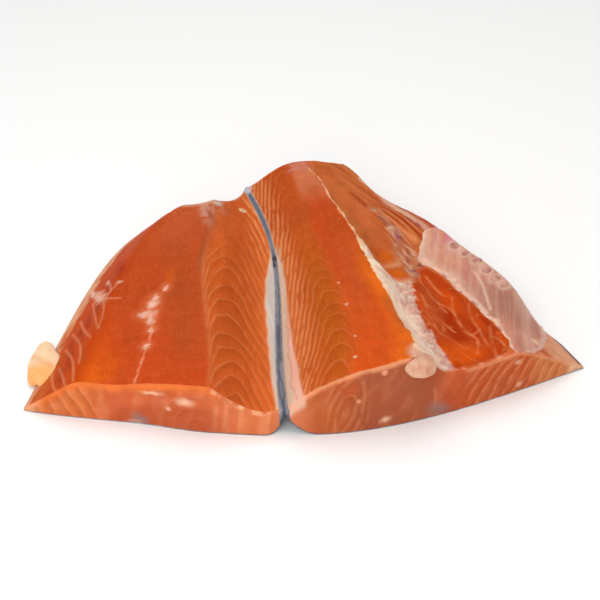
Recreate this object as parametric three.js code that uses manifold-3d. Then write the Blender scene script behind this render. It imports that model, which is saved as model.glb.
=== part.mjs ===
// A butterflied salmon fillet: two loins laid open to either side of the uncut skin of the back,
// skin down. Millimetres, +Z up, resting on its two flat undersides.
// While it is worked out, x = 0 is near the front end of the seam between the loins and +Y runs
// along the seam to the rear. At the end it is moved so that the origin is the middle of the
// underside of its bounding box.
import * as THREE from 'three';
import Module from 'manifold-3d';
import { mergeVertices } from 'three/addons/utils/BufferGeometryUtils.js';

// Driving dimensions of the seam, where both loins hang on the skin
const seamFront = 4;
const seamRear = 209;
const seamBow = 9;
const seamBowCrowding = 1.55;
const seamHeightFront = 13.2;
const seamHeightRear = 11.0;
const skinAtSeam = 2.2;

// Edges of the slices
const bellyEdgeHeight = 1.2;
const cutEdgeRadius = 1.8;

// How finely the surface is divided
const acrossSteps = 24;
const alongSteps = 35;
const acrossCrowding = 1.35;
const edgeRingPlaces = [0, 0.3, 1];
const edgeRingDrops = [1, 0.3, 0];

// Each loin: edge is the Bezier of its belly edge in plan, from front to rear.
// A pair of numbers is a value at the front cut and at the rear cut. A list of pairs gives a value
// at shares of the way to the rear. Places across a loin are shares of its width, and widths are mm.
const leftLoin = {
  side: -1,
  edge: [[-121.5, 34], [-103, 92], [-85, 172], [-56, 186]],
  edgeInset: [[0, 0], [1, 0]],
  frontBulge: 2.9,
  frontBulgePower: 0.5,
  shoulderBulge: 2.8,
  rearHollow: 17,
  rearHollowPower: 0.75,
  slopeStart: [8, 3],
  slopeWidth: [27, 19],
  slopePower: [1.0, 0.9],
  crestSharpness: [0.62, 0.62],
  crestHeight: [[0, 26.6], [1, 20.0]],
  stepPlace: [[0, 0.30], [1, 0.345]],
  stepWidth: [[0, 50], [1, 30]],
  stepDrop: [[0, 5.0], [1, 1.5]],
  outerFall: [[0, 0], [1, 0]],
  bellySlope: [[0, 0.76], [0.6, 0.85], [1, 1.0]],
  bellyBlend: 2.0,
  notchRadius: 8,
};
const rightLoin = {
  side: 1,
  edge: [[153, 32], [137, 88], [112, 146], [70, 209]],
  edgeInset: [[0, 0], [0.1, 0], [0.19, 1.5], [0.33, -2.8], [0.5, -0.8], [0.6, 0], [0.82, 8], [1, 1.5]],
  frontBulge: 12,
  frontBulgePower: 1,
  shoulderBulge: 0,
  rearHollow: 0,
  rearHollowPower: 1,
  slopeStart: [1.5, 0],
  slopeWidth: [34, 34],
  slopePower: [0.38, 0.7],
  crestSharpness: [0.62, 1],
  crestHeight: [[0, 35.3], [1, 27.2]],
  stepPlace: [[0, 0.398], [0.3, 0.378], [0.65, 0.38], [1, 0.49]],
  stepWidth: [[0, 16], [0.5, 15], [1, 12]],
  stepDrop: [[0, 11.8], [0.25, 13], [0.5, 13], [0.72, 4], [1, -0.2]],
  outerFall: [[0, 0], [0.35, 4], [0.7, 4.5], [1, 4.5]],
  bellySlope: [[0, 0.62], [0.1, 0.65], [0.26, 1.5], [0.5, 2.4], [1, 2.2]],
  bellyBlend: 3.0,
  notchRadius: 17,
};
const frontBulgeCrowding = 0.7;
const shoulder = { rise: 0.08, fallFrom: 0.30, fall: 0.28 };
const outerFallSpan = [0.55, 0.93];

// The right loin is thickest at its front cut, just before the step
const frontCrown = { place: 0.37, halfWidth: 0.17, height: 2.6, length: 0.2 };

// The bare muscle hollow beside the belly membrane of the right loin, as shares of width and length
const hollow = { place: [0.62, 0.66], halfWidth: 0.10, depth: 3.2, from: 0.06, to: 0.62 };

// Ends of the muscle strips that lie bare past the step of the right loin
const fingers = { places: [[60, 131], [66, 113], [70, 97]], radius: 8, height: 1.6 };

// Torn edge of the connective band along the right loin's step, and the slack of the whole surface
const tornEdge = { reach: 1.6, waves: [9.5, 5.3] };
const slack = { height: 0.45, acrossWave: 9, alongWave: 13 };

// Connective tissue that ends in a knob over the front cut, and a leaf of fat on the left edge
const knob = { centre: [63.8, 6.6, 31.3], radii: [9, 7, 5], taper: 0, droop: 0.12, turn: 0.15 };
const fatLeaf = { centre: [-112.5, 64, 3.8], radii: [8.4, 17, 2.3], taper: 0.35, droop: -0.22, turn: 0.05 };
const lumpSegments = [24, 14];

const mix = (a, b, share) => a + (b - a) * share;
const clamp01 = (value) => Math.min(1, Math.max(0, value));

function ease(value) {
  const share = clamp01(value);
  return share * share * (3 - 2 * share);
}

// Smooth value at t through a list of [share of the way to the rear, value]
function valueAlong(keys, t) {
  for (let i = 1; i < keys.length; i++) {
    const [from, a] = keys[i - 1];
    const [to, b] = keys[i];
    if (t <= to) return mix(a, b, ease((t - from) / (to - from)));
  }
  return keys[keys.length - 1][1];
}

// The lower of two heights, with the corner between them rounded over a height of about blend
function roundedMin(a, b, blend) {
  const share = clamp01(0.5 + (0.5 * (b - a)) / blend);
  return mix(b, a, share) - blend * share * (1 - share);
}

function bezierPoint(points, t) {
  const u = 1 - t;
  const weights = [u * u * u, 3 * u * u * t, 3 * u * t * t, t * t * t];
  const axis = (k) => weights.reduce((sum, weight, i) => sum + weight * points[i][k], 0);
  return [axis(0), axis(1)];
}

function seamPoint(t) {
  return [seamBow * Math.sin(Math.PI * t ** seamBowCrowding), mix(seamFront, seamRear, t)];
}

const seamHeight = (t) => mix(seamHeightFront, seamHeightRear, t);

// Belly edge in plan: the Bezier, drawn in towards the seam where the belly wall was trimmed
function edgePoint(loin, t) {
  const [x, y] = bezierPoint(loin.edge, t);
  return [x - loin.side * valueAlong(loin.edgeInset, t), y];
}

function loinWidth(loin, t) {
  const [seamX, seamY] = seamPoint(t);
  const [edgeX, edgeY] = edgePoint(loin, t);
  return Math.hypot(edgeX - seamX, edgeY - seamY);
}

// Place in plan of the share s of the way from the seam to the belly edge, t along the fillet.
// The cuts at both ends are not straight: the front cut bulges and the left rear cut slants.
function planPoint(loin, s, t) {
  const [seamX, seamY] = seamPoint(t);
  const [edgeX, edgeY] = edgePoint(loin, t);
  const bulge = Math.sin(Math.PI * s ** (loin.side > 0 ? frontBulgeCrowding : 1));
  const swell = ease(s / shoulder.rise) - ease((s - shoulder.fallFrom) / shoulder.fall);
  const front = loin.frontBulge * Math.max(0, bulge) ** loin.frontBulgePower;
  const rear = loin.rearHollow * Math.sin(Math.PI * s ** loin.rearHollowPower);
  const y = mix(seamY, edgeY, s) - (1 - t) ** 2 * (front + loin.shoulderBulge * swell) - t * t * rear;
  return [mix(seamX, edgeX, s), y];
}

// Height of the flesh above the table, up the slope of the back to the crest, over the step where
// the belly wall begins, and down to the thin belly edge
function topHeight(loin, s, t) {
  const width = loinWidth(loin, t);
  const [x, y] = planPoint(loin, s, t);
  const start = mix(...loin.slopeStart, t);
  const run = clamp01((s * width - start) / mix(...loin.slopeWidth, t)) ** mix(...loin.slopePower, t);
  const sharp = Math.PI * mix(...loin.crestSharpness, t);
  const slope = (1 - Math.cos(sharp * run)) / (1 - Math.cos(sharp));
  const base = seamHeight(t);
  let z = mix(base, valueAlong(loin.crestHeight, t), slope);
  const pastStep = (s - valueAlong(loin.stepPlace, t)) * width - (loin.side > 0 ? tornReach(y) : 0);
  z -= valueAlong(loin.stepDrop, t) * ease(pastStep / valueAlong(loin.stepWidth, t));
  z -= valueAlong(loin.outerFall, t) * ease((s - outerFallSpan[0]) / (outerFallSpan[1] - outerFallSpan[0]));
  if (loin.side > 0) z += fingerHeight(x, y) + crownHeight(s, t) - hollowDepth(s, t);
  z += slack.height * slope * Math.sin(x / slack.acrossWave + Math.sin(y / slack.alongWave));
  const belly = bellyEdgeHeight + (1 - s) * width * valueAlong(loin.bellySlope, t);
  return Math.max(bellyEdgeHeight, roundedMin(z, belly, loin.bellyBlend));
}

const tornReach = (y) => tornEdge.reach * Math.sin(y / tornEdge.waves[0] + Math.sin(y / tornEdge.waves[1]));

function fingerHeight(x, y) {
  const heights = fingers.places.map(([fx, fy]) => ease(1 - Math.hypot(x - fx, y - fy) / fingers.radius));
  return fingers.height * Math.max(...heights);
}

function crownHeight(s, t) {
  const across = Math.abs(s - frontCrown.place) / frontCrown.halfWidth;
  return frontCrown.height * ease(1 - across) * ease(1 - t / frontCrown.length);
}

function hollowDepth(s, t) {
  const across = (s - mix(...hollow.place, t)) / hollow.halfWidth;
  const lengthShare = clamp01((t - hollow.from) / (hollow.to - hollow.from));
  return hollow.depth * ease(1 - Math.abs(across)) * Math.sin(Math.PI * lengthShare) ** 0.5;
}

// Height of the skin underneath: flat on the table, and arched up to the seam
function bottomHeight(loin, s, t) {
  const share = clamp01(1 - (s * loinWidth(loin, t)) / loin.notchRadius);
  const arch = seamHeight(t) - skinAtSeam;
  return loin.side > 0 ? arch * share * share : arch * (1 - Math.sqrt(1 - share * share));
}

// Shares across one loin, crowded towards the seam
const acrossShares = Array.from({ length: acrossSteps + 1 }, (_, i) => (i / acrossSteps) ** acrossCrowding);

// Rings from front to rear, with the edges of both cuts rounded: [t, share of the edge radius]
function ringPlaces() {
  const length = seamRear - seamFront;
  const edge = cutEdgeRadius / length;
  const front = edgeRingPlaces.map((place, i) => [place * edge, edgeRingDrops[i]]);
  const middle = [];
  for (let i = 1; i < alongSteps; i++) middle.push([mix(edge, 1 - edge, i / alongSteps), 0]);
  const rear = front.map(([t, drop]) => [1 - t, drop]).reverse();
  return [...front, ...middle, ...rear];
}

// One closed ring of points: over the flesh from the left edge to the right, and back underneath
function ringPoints([t, drop]) {
  const over = [];
  const under = [];
  for (const loin of [leftLoin, rightLoin]) {
    for (const s of acrossShares) {
      if (loin.side > 0 && s === 0) continue;
      const [x, y] = planPoint(loin, s, t);
      const top = topHeight(loin, s, t);
      const bottom = bottomHeight(loin, s, t);
      const rounding = drop * Math.min(cutEdgeRadius, 0.35 * (top - bottom));
      const place = loin.side < 0 ? 0 : over.length;
      over.splice(place, 0, [x, y, top - rounding]);
      under.splice(place, 0, [x, y, bottom + rounding]);
    }
  }
  return [...over, ...under.reverse()];
}

function filletGeometry() {
  const rings = ringPlaces().map(ringPoints);
  const count = rings[0].length;
  const columns = count / 2;
  const index = [];
  const quad = (a, b, c, d) => index.push(a, b, c, a, c, d);
  for (let k = 0; k + 1 < rings.length; k++) {
    for (let i = 0; i < count; i++) {
      const next = (i + 1) % count;
      quad(k * count + i, k * count + next, (k + 1) * count + next, (k + 1) * count + i);
    }
  }
  const last = (rings.length - 1) * count;
  for (let i = 0; i + 1 < columns; i++) {
    const below = count - 1 - i;
    quad(i, below, below - 1, i + 1);
    quad(last + i, last + i + 1, last + below - 1, last + below);
  }
  const geometry = new THREE.BufferGeometry();
  geometry.setAttribute('position', new THREE.Float32BufferAttribute(rings.flat(2), 3));
  geometry.setIndex(index);
  return geometry;
}

// A closed oval lump of soft tissue, narrower towards the rear by its taper
function lumpGeometry({ centre, radii, taper, droop, turn }) {
  const lump = new THREE.SphereGeometry(1, ...lumpSegments);
  lump.rotateX(Math.PI / 2);
  const points = lump.attributes.position;
  for (let i = 0; i < points.count; i++) points.setX(i, points.getX(i) * (1 - taper * points.getY(i)));
  lump.scale(...radii);
  lump.rotateY(droop);
  lump.rotateZ(turn);
  lump.translate(...centre);
  return lump;
}

const manifold = await Module();
manifold.setup();

function toSolid(geometry) {
  geometry.deleteAttribute('normal');
  geometry.deleteAttribute('uv');
  const merged = mergeVertices(geometry, 1e-4);
  return new manifold.Manifold(new manifold.Mesh({
    numProp: 3,
    vertProperties: new Float32Array(merged.attributes.position.array),
    triVerts: new Uint32Array(merged.index.array),
  }));
}

function fromSolid(solid) {
  const mesh = solid.getMesh();
  const geometry = new THREE.BufferGeometry();
  geometry.setAttribute('position', new THREE.BufferAttribute(mesh.vertProperties, 3));
  geometry.setIndex(new THREE.BufferAttribute(mesh.triVerts, 1));
  geometry.computeVertexNormals();
  return geometry;
}

// The flesh and what grows on it are one piece
const whole = [knob, fatLeaf].reduce(
  (solid, lump) => solid.add(toSolid(lumpGeometry(lump))),
  toSolid(filletGeometry()),
);

const flesh = new THREE.MeshStandardMaterial({ color: 0xc8542a, roughness: 0.4, metalness: 0 });
const fillet = new THREE.Mesh(fromSolid(whole), flesh);
fillet.name = 'salmon_fillet';

const group = new THREE.Group();
group.add(fillet);
const bounds = new THREE.Box3().setFromObject(group);
const middle = bounds.getCenter(new THREE.Vector3());
group.position.set(-middle.x, -middle.y, -bounds.min.z);

export default group;
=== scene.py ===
# A raw butterflied salmon fillet, skin down: two loins of pale-lined muscle on one scaled skin
import math
import bpy
import numpy as np
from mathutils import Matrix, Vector


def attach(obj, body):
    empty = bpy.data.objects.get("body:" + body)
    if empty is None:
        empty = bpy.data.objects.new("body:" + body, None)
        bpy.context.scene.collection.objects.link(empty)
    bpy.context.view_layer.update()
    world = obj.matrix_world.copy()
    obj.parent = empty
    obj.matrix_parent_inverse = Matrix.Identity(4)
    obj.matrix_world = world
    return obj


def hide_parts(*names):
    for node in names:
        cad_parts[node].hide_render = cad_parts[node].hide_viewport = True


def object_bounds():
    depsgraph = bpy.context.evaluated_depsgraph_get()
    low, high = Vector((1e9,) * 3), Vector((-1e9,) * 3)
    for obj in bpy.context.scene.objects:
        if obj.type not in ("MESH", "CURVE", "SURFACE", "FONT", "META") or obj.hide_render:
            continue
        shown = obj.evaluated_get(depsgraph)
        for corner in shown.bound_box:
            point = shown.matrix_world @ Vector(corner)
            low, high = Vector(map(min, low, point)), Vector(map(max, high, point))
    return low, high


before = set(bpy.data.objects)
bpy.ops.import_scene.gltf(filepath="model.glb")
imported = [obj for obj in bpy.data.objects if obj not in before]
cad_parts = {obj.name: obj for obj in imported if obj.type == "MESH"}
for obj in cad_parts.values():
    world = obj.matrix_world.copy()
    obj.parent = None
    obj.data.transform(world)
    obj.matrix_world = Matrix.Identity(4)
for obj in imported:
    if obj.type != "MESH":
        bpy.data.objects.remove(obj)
cadLow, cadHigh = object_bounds()
node = "salmon_fillet"

# The fish's own plan: millimetres, x = 0 near the front end of the seam, +Y along the seam to the rear.
# Lists of pairs are [share of the way to the rear, value], and edge is the four poles of a curve.
seam = dict(front=4.0, rear=209.0, bow=9.0, crowding=1.55, heightFront=13.2, heightRear=11.0, skin=2.2)
leftLoin = dict(
    side=-1, edge=[(-121.5, 34), (-103, 92), (-85, 172), (-56, 186)], edgeInset=[(0, 0), (1, 0)],
    frontBulge=2.9, frontBulgePower=0.5, frontCrowding=1.0, shoulderBulge=2.8, rearHollow=17,
    rearPower=0.75,
    slopeStart=(8, 3), slopeWidth=(27, 19), slopePower=(1.0, 0.9), crestSharpness=(0.62, 0.62),
    crestHeight=[(0, 26.6), (1, 20.0)], stepPlace=[(0, 0.30), (1, 0.345)], stepWidth=[(0, 50), (1, 30)],
    stepDrop=[(0, 5.0), (1, 1.5)], outerFall=[(0, 0), (1, 0)],
    bellySlope=[(0, 0.76), (0.6, 0.85), (1, 1.0)], bellyBlend=5.0, notchRadius=8)
rightLoin = dict(
    side=1, edge=[(153, 32), (137, 88), (112, 146), (70, 209)],
    edgeInset=[(0, 0), (0.1, 0), (0.19, 1.5), (0.33, -2.8), (0.5, -0.8), (0.6, 0), (0.82, 8), (1, 1.5)],
    frontBulge=12, frontBulgePower=1, frontCrowding=0.7, shoulderBulge=0, rearHollow=0, rearPower=1,
    slopeStart=(1.5, 0), slopeWidth=(34, 34), slopePower=(0.38, 0.7), crestSharpness=(0.62, 1.0),
    crestHeight=[(0, 35.3), (1, 27.2)], stepPlace=[(0, 0.398), (0.3, 0.378), (0.65, 0.38), (1, 0.49)],
    stepWidth=[(0, 16), (0.5, 15), (1, 12)],
    stepDrop=[(0, 11.8), (0.25, 13), (0.5, 13), (0.72, 4), (1, -0.2)],
    outerFall=[(0, 0), (0.35, 4), (0.7, 4.5), (1, 4.5)],
    bellySlope=[(0, 0.62), (0.1, 0.65), (0.26, 1.5), (0.5, 2.4), (1, 2.2)], bellyBlend=3.0, notchRadius=17)
form = dict(
    bellyEdge=1.2, shoulderRise=0.08, shoulderFrom=0.30, shoulderFall=0.28, fallFrom=0.55, fallTo=0.93,
    hollowPlace=(0.62, 0.66), hollowHalf=0.10, hollowDepth=3.2, hollowFrom=0.06, hollowTo=0.62,
    fingers=[(60, 131), (66, 113), (70, 97)], fingerRadius=8, fingerHeight=1.6,
    crownPlace=0.37, crownHalf=0.17, crownHeight=2.6, crownLength=0.2, tornReach=1.6, tornWaves=(9.5, 5.3),
    slackHeight=0.45, slackAcross=9, slackAlong=13)
tipX = rightLoin["edge"][0][0]
planShift = np.array([cadHigh.x * 1000 - tipX, cadHigh.y * 1000 - seam["rear"], 0.0])
seamLength = seam["rear"] - seam["front"]


def mix(a, b, share):
    return a + (b - a) * share


def ease(value):
    share = np.clip(value, 0, 1)
    return share * share * (3 - 2 * share)


def bump(value, centre, half):
    return ease(1 - np.abs(value - centre) / half)


# Smooth value at each place through a list of [place, value]
def valueAlong(keys, at):
    at = np.asarray(at, float)
    out = np.full(at.shape, float(keys[-1][1]))
    for (start, a), (end, b) in zip(reversed(keys[:-1]), reversed(keys[1:])):
        out = np.where(at <= end, mix(a, b, ease((at - start) / (end - start))), out)
    return out


# The same through straight pieces, for lists of [y, x] read off the fish
def lineAlong(keys, at):
    return np.interp(at, [key[0] for key in keys], [key[1] for key in keys])


def roundedMin(a, b, blend):
    share = np.clip(0.5 + 0.5 * (b - a) / blend, 0, 1)
    return mix(b, a, share) - blend * share * (1 - share)


# Soft random unevenness between -1 and 1, with lumps of about the given size in millimetres
def softNoise(x, y, size, seed):
    table = np.random.default_rng(seed).uniform(-1, 1, (64, 64))
    u, v = np.asarray(x) / size + 17.3, np.asarray(y) / size + 9.7
    i, j = np.floor(u).astype(int), np.floor(v).astype(int)
    a, b = ease(u - i), ease(v - j)
    near = mix(table[i % 64, j % 64], table[(i + 1) % 64, j % 64], a)
    far = mix(table[i % 64, (j + 1) % 64], table[(i + 1) % 64, (j + 1) % 64], a)
    return mix(near, far, b)


# Unevenness drawn out into streaks that run at an angle from +X
def streaks(x, y, degrees, width, length, seed):
    c, d = math.cos(math.radians(degrees)), math.sin(math.radians(degrees))
    return softNoise(y * c - x * d, (x * c + y * d) * width / length, width, seed)


def seamPoint(t):
    bow = seam["bow"] * np.sin(np.pi * np.clip(t, 0, 1) ** seam["crowding"])
    return bow, mix(seam["front"], seam["rear"], t)


def seamHeight(t):
    return mix(seam["heightFront"], seam["heightRear"], t)


def edgePoint(loin, t):
    u = 1 - t
    weights = (u ** 3, 3 * u * u * t, 3 * u * t * t, t ** 3)
    x = sum(w * p[0] for w, p in zip(weights, loin["edge"]))
    y = sum(w * p[1] for w, p in zip(weights, loin["edge"]))
    return x - loin["side"] * valueAlong(loin["edgeInset"], t), y


def loinWidth(loin, t):
    seamX, seamY = seamPoint(t)
    edgeX, edgeY = edgePoint(loin, t)
    return np.hypot(edgeX - seamX, edgeY - seamY)


def planPoint(loin, s, t):
    seamX, seamY = seamPoint(t)
    edgeX, edgeY = edgePoint(loin, t)
    bulge = np.maximum(0, np.sin(np.pi * s ** loin["frontCrowding"])) ** loin["frontBulgePower"]
    swell = ease(s / form["shoulderRise"]) - ease((s - form["shoulderFrom"]) / form["shoulderFall"])
    front = loin["frontBulge"] * bulge + loin["shoulderBulge"] * swell
    rear = loin["rearHollow"] * np.sin(np.pi * np.clip(s, 0, 1) ** loin["rearPower"])
    return mix(seamX, edgeX, s), mix(seamY, edgeY, s) - (1 - t) ** 2 * front - t * t * rear


def bellyHeight(loin, s, t):
    return form["bellyEdge"] + (1 - s) * loinWidth(loin, t) * valueAlong(loin["bellySlope"], t)


def topHeight(loin, s, t):
    width = loinWidth(loin, t)
    x, y = planPoint(loin, s, t)
    run = np.clip((s * width - mix(*loin["slopeStart"], t)) / mix(*loin["slopeWidth"], t), 0, 1)
    sharp = math.pi * mix(*loin["crestSharpness"], t)
    slope = (1 - np.cos(sharp * run ** mix(*loin["slopePower"], t))) / (1 - np.cos(sharp))
    z = mix(seamHeight(t), valueAlong(loin["crestHeight"], t), slope)
    pastStep = (s - valueAlong(loin["stepPlace"], t)) * width
    if loin["side"] > 0:
        wave, curl = form["tornWaves"]
        pastStep = pastStep - form["tornReach"] * np.sin(y / wave + np.sin(y / curl))
    z = z - valueAlong(loin["stepDrop"], t) * ease(pastStep / valueAlong(loin["stepWidth"], t))
    fallen = ease((s - form["fallFrom"]) / (form["fallTo"] - form["fallFrom"]))
    z = z - valueAlong(loin["outerFall"], t) * fallen
    if loin["side"] > 0:
        far = [ease(1 - np.hypot(x - fx, y - fy) / form["fingerRadius"]) for fx, fy in form["fingers"]]
        z = z + form["fingerHeight"] * np.maximum.reduce(far)
        crown = ease(1 - np.abs(s - form["crownPlace"]) / form["crownHalf"])
        crown = crown * ease(1 - t / form["crownLength"])
        z = z + form["crownHeight"] * crown
        across = (s - mix(*form["hollowPlace"], t)) / form["hollowHalf"]
        along = np.clip((t - form["hollowFrom"]) / (form["hollowTo"] - form["hollowFrom"]), 0, 1)
        inside = np.maximum(0, np.sin(np.pi * along)) ** 0.5
        z = z - form["hollowDepth"] * ease(1 - np.abs(across)) * inside
    z = z + form["slackHeight"] * slope * np.sin(x / form["slackAcross"] + np.sin(y / form["slackAlong"]))
    return np.maximum(form["bellyEdge"], roundedMin(z, bellyHeight(loin, s, t), loin["bellyBlend"]))


def bottomHeight(loin, s, t):
    share = np.clip(1 - s * loinWidth(loin, t) / loin["notchRadius"], 0, 1)
    arch = seamHeight(t) - seam["skin"]
    return arch * (share ** 2 if loin["side"] > 0 else 1 - np.sqrt(1 - share ** 2))


# Fine unevenness of cut muscle, in millimetres, nowhere at the very edges
def fineRelief(s, x, y):
    rough = 0.16 * softNoise(x, y, 5.5, 41) + 0.08 * softNoise(x, y, 1.8, 42)
    torn = np.maximum.reduce([blot(x, y, spot, 0.6) for spot in rightMarks["tatters"]])
    rough = rough + torn * (0.5 * softNoise(x, y, 2.6, 43) + 0.25 * softNoise(x, y, 1.3, 44))
    return rough * ease(s / 0.03) * ease((1 - s) / 0.03)


# Shares (s, t) of a loin at a place in plan, by a few rounds of correction
def sharesAt(loin, x, y, farthest=1.0):
    s = np.clip((x * loin["side"]) / 130, 0.02, 0.98) + 0 * y
    t = np.clip((y - seam["front"]) / seamLength, 0, 1) + 0 * s
    for _ in range(16):
        seamX = seamPoint(t)[0]
        edgeX = edgePoint(loin, t)[0]
        s = np.clip((x - seamX) / (edgeX - seamX), 0, farthest)
        t = np.clip(t + 0.8 * (y - planPoint(loin, s, t)[1]) / seamLength, 0, 1)
    return s, t


def surfaceAt(loin, x, y):
    s, t = sharesAt(loin, np.asarray(x, float), np.asarray(y, float))
    return topHeight(loin, s, t) + fineRelief(s, x, y)


# Drawing in plan
def smoothLine(points, steps=5):
    p = np.array([points[0], *points, points[-1]], float)
    line = []
    for a, b, c, d in zip(p[:-3], p[1:-2], p[2:-1], p[3:]):
        for k in range(steps):
            u = k / steps
            line.append(0.5 * (2 * b + (c - a) * u + (2 * a - 5 * b + 4 * c - d) * u * u
                               + (3 * b - a - 3 * c + d) * u ** 3))
    return np.array(line + [p[-1]])


# Share of a brush stroke through the points at every place, half its width in millimetres
def stroke(x, y, points, half, soft=0.5):
    line = smoothLine(points)
    reach = half + soft
    near = (x > line[:, 0].min() - reach) & (x < line[:, 0].max() + reach)
    near &= (y > line[:, 1].min() - reach) & (y < line[:, 1].max() + reach)
    px, py = x[near], y[near]
    far = np.full(px.shape, 1e3)
    for a, b in zip(line[:-1], line[1:]):
        run = b - a
        share = np.clip(((px - a[0]) * run[0] + (py - a[1]) * run[1]) / max(run @ run, 1e-9), 0, 1)
        far = np.minimum(far, np.hypot(px - a[0] - share * run[0], py - a[1] - share * run[1]))
    shares = np.zeros(np.shape(x))
    shares[near] = ease((reach - far) / (2 * soft))
    return shares


# Share of a soft oval blot (x, y, half width, half height, turn in degrees)
def blot(x, y, spot, soft=0.35):
    cx, cy, across, along, *turn = spot
    angle = math.radians(turn[0] if turn else 0)
    c, d = math.cos(angle), math.sin(angle)
    u, v = (x - cx) * c + (y - cy) * d, (y - cy) * c - (x - cx) * d
    return ease((1 + soft - np.hypot(u / across, v / along)) / (2 * soft))


def hexColour(text):
    channels = [int(text[i:i + 2], 16) / 255 for i in (1, 3, 5)]
    linear = [c / 12.92 if c <= 0.04045 else ((c + 0.055) / 1.055) ** 2.4 for c in channels]
    return (*linear, 1.0)


def paint(tone, share, text):
    return tone + (np.array(hexColour(text)) - tone) * np.clip(share, 0, 1)[..., None]


def plainTone(x, text):
    return np.zeros((*np.shape(x), 4)) + np.array(hexColour(text))


# Meshes
def closedMesh(name, points, faces, fields, material):
    mesh = bpy.data.meshes.new(name)
    mesh.from_pydata(((points + planShift) / 1000).tolist(), [], [list(face) for face in faces])
    for label, values in fields.items():
        values = np.asarray(values, np.float32)
        isTone = values.size == 4 * len(points)
        layer = mesh.attributes.new(label, "FLOAT_COLOR" if isTone else "FLOAT", "POINT")
        layer.data.foreach_set("color" if isTone else "value", values.ravel())
    mesh.shade_smooth()
    mesh.materials.append(material)
    piece = bpy.data.objects.new(name, mesh)
    bpy.context.scene.collection.objects.link(piece)
    mesh.calc_loop_triangles()
    corners = np.array([tri.vertices[:] for tri in mesh.loop_triangles])
    places = np.array([vertex.co[:] for vertex in mesh.vertices])
    a, b, c = places[corners[:, 0]], places[corners[:, 1]], places[corners[:, 2]]
    volume = np.einsum("ij,ij->i", a, np.cross(b, c)).sum() / 6
    if volume < 0:
        mesh.flip_normals()
    print(name, len(places), "points", len(corners), "triangles", round(abs(volume) * 1e6, 1), "cm3")
    return piece


def finishPiece(piece):
    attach(piece, "root")
    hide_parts(node)
    return piece


# Faces of a closed slab between two sheets of columns x rows points, the upper sheet first
def slabFaces(columns, rows):
    half = columns * rows
    faces = []
    for i in range(columns - 1):
        for k in range(rows - 1):
            a, b = i * rows + k, (i + 1) * rows + k
            faces.append((a, b, b + 1, a + 1))
            faces.append((half + a, half + a + 1, half + b + 1, half + b))
        a, b = i * rows, (i + 1) * rows
        faces.append((a, half + a, half + b, b))
        a, b = a + rows - 1, b + rows - 1
        faces.append((a, b, half + b, half + a))
    for k in range(rows - 1):
        faces.append((k, k + 1, half + k + 1, half + k))
        a = (columns - 1) * rows + k
        faces.append((a, half + a, half + a + 1, a + 1))
    return faces


# Faces between two lines of points that share their ends, as a fan that keeps pace along both
def zipRows(upper, lower, upperAt, lowerAt):
    faces = []
    i = j = 0
    while i < len(upper) - 1 or j < len(lower) - 1:
        takeUpper = j == len(lower) - 1 or (i < len(upper) - 1 and upperAt[i + 1] >= lowerAt[j + 1])
        if takeUpper:
            faces.append((upper[i], upper[i + 1], lower[j]))
            i += 1
        else:
            faces.append((upper[i], lower[j + 1], lower[j]))
            j += 1
    return [face for face in faces if len(set(face)) == 3]


# Materials
def addNode(tree, kind, settings=None, inputs=None):
    made = tree.nodes.new(kind)
    for label, value in (settings or {}).items():
        setattr(made, label, value)
    for socket, value in (inputs or {}).items():
        if isinstance(value, bpy.types.NodeSocket):
            tree.links.new(value, made.inputs[socket])
        else:
            made.inputs[socket].default_value = value
    return made


def newMaterial(name):
    material = bpy.data.materials.new(name)
    material.use_nodes = True
    material.node_tree.nodes.clear()
    return material, material.node_tree


def attributeOf(tree, label, output="Fac"):
    return addNode(tree, "ShaderNodeAttribute", dict(attribute_name=label)).outputs[output]


def mixed(tree, share, a, b):
    return addNode(tree, "ShaderNodeMix", dict(data_type="RGBA"), {0: share, 6: a, 7: b}).outputs[2]


def calc(tree, operation, a, b=0.0):
    return addNode(tree, "ShaderNodeMath", dict(operation=operation), {0: a, 1: b}).outputs[0]


def stepBetween(tree, value, low, high):
    return addNode(tree, "ShaderNodeMapRange", dict(interpolation_type="SMOOTHSTEP"),
                   {0: value, 1: low, 2: high, 3: 0.0, 4: 1.0}).outputs[0]


# Noise with lumps of the given size in millimetres along each axis of the object
def mottle(tree, sizes, detail=2.0, roughness=0.5):
    place = addNode(tree, "ShaderNodeTexCoord").outputs["Object"]
    scaled = addNode(tree, "ShaderNodeMapping", None,
                     {"Vector": place, "Scale": [1000 / size for size in sizes]})
    return addNode(tree, "ShaderNodeTexNoise", None,
                   {"Vector": scaled.outputs[0], "Scale": 1.0, "Detail": detail,
                    "Roughness": roughness}).outputs["Fac"]


def finishSurface(tree, colour, values, height=None, distance=0.0002):
    surface = addNode(tree, "ShaderNodeBsdfPrincipled", None, {"Base Color": colour, **values})
    if height is not None:
        relief = addNode(tree, "ShaderNodeBump", None,
                         {"Height": height, "Strength": 1.0, "Distance": distance})
        tree.links.new(relief.outputs[0], surface.inputs["Normal"])
    output = addNode(tree, "ShaderNodeOutputMaterial")
    tree.links.new(surface.outputs[0], output.inputs["Surface"])


wetFlesh = {"Roughness": 0.42, "IOR": 1.36, "Specular IOR Level": 0.01, "Subsurface Weight": 0.2,
            "Subsurface Radius": (1.0, 0.26, 0.08), "Subsurface Scale": 0.002, "Coat Weight": 0.04,
            "Coat Roughness": 0.2, "Coat IOR": 1.33}


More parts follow.
